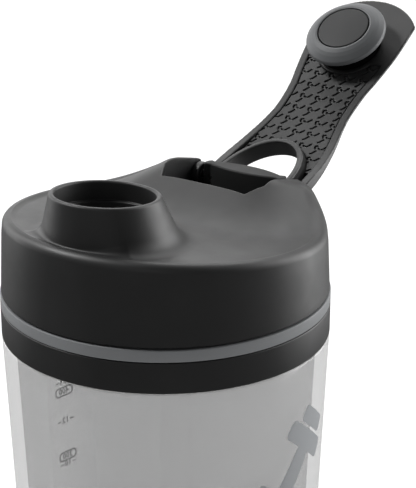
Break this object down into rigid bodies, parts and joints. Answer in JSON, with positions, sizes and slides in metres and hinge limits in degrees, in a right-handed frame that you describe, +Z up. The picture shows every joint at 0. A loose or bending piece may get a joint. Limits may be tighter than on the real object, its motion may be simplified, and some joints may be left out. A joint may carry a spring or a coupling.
{
  "type": "protein shaker bottle",
  "caption": "Tapered see-through shaker cup with a black screw lid, round drinking spout, and a flip-up arm whose sealed plug closes the spout.",
  "frame": {"origin": "centre of the round base, on the surface the bottle stands on", "axes": "+Z up along the bottle's axis, spout towards -Y, hinge towards +Y, +X along the hinge axis"},
  "size_m": [0.0866, 0.1517, 0.1977],
  "materials": {
    "clear_tinted_plastic": "clear grey tint, polished",
    "black_plastic": "fine matte moulded",
    "grip_plastic": "matte with a pressed pattern of short curved grooves",
    "liner_plastic": "smooth moulded",
    "grey_rubber": "satin rubber",
    "grey_silicone": "satin silicone",
    "pale_silicone": "translucent silicone",
    "dark_grey_plastic": "fine matte moulded",
    "steel_wire": "polished stainless wire",
    "steel_pin": "ground stainless"
  },
  "bodies": {
    "cup_body": {"cup": "clear_tinted_plastic", "base_pad": "grey_rubber", "cup_collar": "black_plastic", "accent_ring": "grey_rubber"},
    "gasket_body": {"lid_gasket": "pale_silicone"},
    "lid_body": {"lid_shell": "black_plastic", "lid_liner": "liner_plastic", "hinge_block": "black_plastic", "hinge_pin": "steel_pin"},
    "arm_body": {"cap_arm": "black_plastic", "grip_pad": "grip_plastic", "plug_stem": "black_plastic", "plug_seal": "grey_silicone", "plug_disc": "dark_grey_plastic"},
    "ball_body": {"mixing_ball": "steel_wire"}
  },
  "joints": [
    {"name": "lid_rise", "type": "slide", "parent": "cup_body", "child": "gasket_body", "axis": [0, 0, 1], "range_m": [0, 0.008]},
    {"name": "lid_turn", "type": "hinge", "parent": "gasket_body", "child": "lid_body", "pos_m": [0, 0, 0.14], "axis": [0, 0, 1], "range_deg": [0, 360]},
    {"name": "cap_hinge", "type": "hinge", "parent": "lid_body", "child": "arm_body", "pos_m": [0, 0.0363, 0.158], "axis": [1, 0, 0], "range_deg": [0, 139.6]},
    {"name": "ball_lift", "type": "slide", "parent": "cup_body", "child": "ball_body", "axis": [0, 0, 1], "range_m": [0, 0.09]}
  ],
  "couplings": [
    {"joint": "lid_rise", "follows": "lid_turn", "m_per_rad": 0.0012732}
  ]
}
